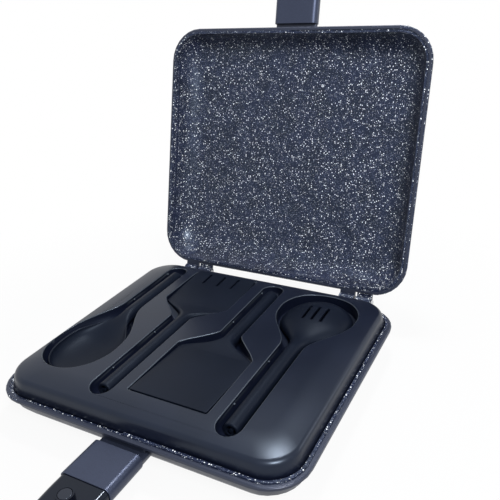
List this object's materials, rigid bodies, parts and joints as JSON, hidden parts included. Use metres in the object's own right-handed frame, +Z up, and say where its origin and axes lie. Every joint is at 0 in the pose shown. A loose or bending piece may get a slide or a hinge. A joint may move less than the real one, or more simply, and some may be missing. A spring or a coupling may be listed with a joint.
{
  "type": "double-sided frying pan",
  "caption": "Square folding double pan with two handles, standing open, its base half filled by a black tray that holds spoons and turners in moulded pockets",
  "frame": {"origin": "middle of the flat underside of the base pan", "axes": "+Z up; +X to the right along the hinge, seen from the handles; -Y towards the handle of the base pan"},
  "size_m": [0.28, 0.5624, 0.45],
  "materials": {
    "coated_casting": "speckled non-stick coating inside, satin grey-blue paint outside",
    "sleeve_metal": "satin grey-blue metallic paint",
    "grip_bakelite": "glossy black bakelite",
    "steel": "plain zinc-plated steel",
    "magnet_nickel": "dull nickel plate",
    "tray_plastic": "satin black moulded plastic",
    "tool_nylon": "satin black nylon"
  },
  "bodies": {
    "base": {"base_pan": "coated_casting", "base_sleeve": "sleeve_metal", "base_grip": "grip_bakelite", "base_handle_bolt": "steel", "base_bolt_washer": "steel", "base_magnet": "magnet_nickel", "hinge_pin_left": "steel", "hinge_pin_right": "steel"},
    "lid": {"lid_pan": "coated_casting", "lid_sleeve": "sleeve_metal", "lid_grip": "grip_bakelite", "lid_handle_bolt": "steel", "lid_bolt_washer": "steel", "lid_magnet": "magnet_nickel"},
    "tray": {"tool_tray": "tray_plastic"},
    "serving_spoon_body": {"serving_spoon": "tool_nylon"},
    "slotted_turner_body": {"slotted_turner": "tool_nylon"},
    "solid_turner_body": {"solid_turner": "tool_nylon"},
    "slotted_spoon_body": {"slotted_spoon": "tool_nylon"}
  },
  "joints": [
    {"name": "lid_hinge", "type": "hinge", "parent": "base", "child": "lid", "pos_m": [0, 0.1353, 0.03], "axis": [-1, 0, 0], "range_deg": [-104.6, 0]},
    {"name": "tray_lift", "type": "slide", "parent": "base", "child": "tray", "axis": [0, 0, 1], "range_m": [0, 0.05]},
    {"name": "serving_spoon_lift", "type": "slide", "parent": "tray", "child": "serving_spoon_body", "axis": [0, 0, 1], "range_m": [0, 0.05]},
    {"name": "slotted_turner_lift", "type": "slide", "parent": "tray", "child": "slotted_turner_body", "axis": [0, 0, 1], "range_m": [0, 0.05]},
    {"name": "solid_turner_lift", "type": "slide", "parent": "tray", "child": "solid_turner_body", "axis": [0, 0, 1], "range_m": [0, 0.05]},
    {"name": "slotted_spoon_lift", "type": "slide", "parent": "tray", "child": "slotted_spoon_body", "axis": [0, 0, 1], "range_m": [0, 0.05]}
  ]
}
